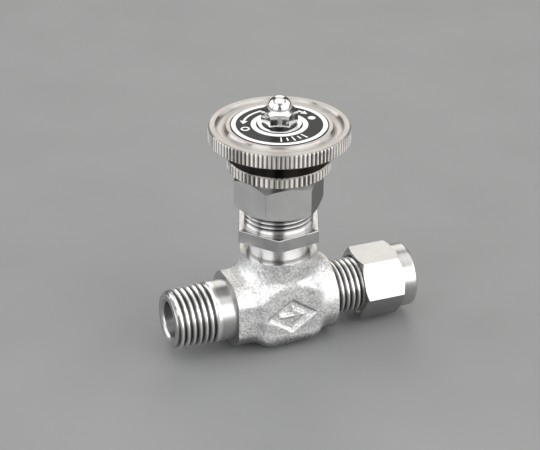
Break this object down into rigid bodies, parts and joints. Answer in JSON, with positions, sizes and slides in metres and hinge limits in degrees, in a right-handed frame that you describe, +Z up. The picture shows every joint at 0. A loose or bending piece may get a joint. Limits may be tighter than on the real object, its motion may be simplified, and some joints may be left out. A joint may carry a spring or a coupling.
{
  "type": "needle valve",
  "caption": "Straight needle valve with a taper-threaded inlet, a compression outlet for tube, a packed rising stem and a knurled handwheel.",
  "frame": {"origin": "centre of the inlet's end face, on the flow axis", "axes": "+X along the flow from the inlet to the outlet, +Z up along the stem"},
  "size_m": [0.0558, 0.03, 0.0566],
  "materials": {
    "forged_steel": "shot-blasted forging with machined ends",
    "machined_steel": "bright turned and milled",
    "nickel": "satin nickel plate",
    "bright_chrome": "bright plated",
    "black_steel": "blackened spring steel",
    "plate_enamel": "black enamel on bare metal",
    "packing": "white PTFE",
    "gasket": "white PTFE"
  },
  "bodies": {
    "valve": {"valve_body": "forged_steel", "bonnet": "machined_steel", "bonnet_gasket": "gasket", "packing_base_washer": "machined_steel", "packing_ring_1": "packing", "packing_ring_2": "packing", "packing_ring_3": "packing"},
    "needle": {"needle_tip": "machined_steel", "needle_retaining_ring": "machined_steel"},
    "spindle": {"stem": "machined_steel", "handwheel": "nickel", "name_plate": "plate_enamel", "plain_washer": "bright_chrome", "spring_washer": "black_steel", "acorn_nut": "bright_chrome"},
    "lock_ring": {"lock_ring": "nickel"},
    "follower": {"gland_follower": "machined_steel"},
    "gland_nut": {"gland_nut": "machined_steel"},
    "ferrules": {"front_ferrule": "machined_steel", "back_ferrule": "machined_steel"},
    "tube_nut": {"tube_nut": "machined_steel"}
  },
  "joints": [
    {"name": "stem_lift", "type": "slide", "parent": "valve", "child": "needle", "axis": [0, 0, 1], "range_m": [0, 0.003]},
    {"name": "wheel_turn", "type": "hinge", "parent": "needle", "child": "spindle", "pos_m": [0.0254, 0, 0.0415], "axis": [0, 0, 1], "range_deg": [0, 1080]},
    {"name": "lock_ring_turn", "type": "hinge", "parent": "spindle", "child": "lock_ring", "pos_m": [0.0254, 0, 0.033], "axis": [0, 0, 1], "range_deg": [-180, 180]},
    {"name": "gland_lift", "type": "slide", "parent": "valve", "child": "follower", "axis": [0, 0, 1], "range_m": [0, 0.0008]},
    {"name": "gland_nut_turn", "type": "hinge", "parent": "follower", "child": "gland_nut", "pos_m": [0.0254, 0, 0.027], "axis": [0, 0, 1], "range_deg": [0, 288]},
    {"name": "ferrule_slide", "type": "slide", "parent": "valve", "child": "ferrules", "axis": [1, 0, 0], "range_m": [0, 0.005]},
    {"name": "tube_nut_turn", "type": "hinge", "parent": "ferrules", "child": "tube_nut", "pos_m": [0.05, 0, 0], "axis": [1, 0, 0], "range_deg": [0, 1440]}
  ],
  "couplings": [
    {"joint": "stem_lift", "follows": "wheel_turn", "m_per_rad": 0.00015915},
    {"joint": "gland_lift", "follows": "gland_nut_turn", "m_per_rad": 0.00015915},
    {"joint": "ferrule_slide", "follows": "tube_nut_turn", "m_per_rad": 0.00019894}
  ]
}
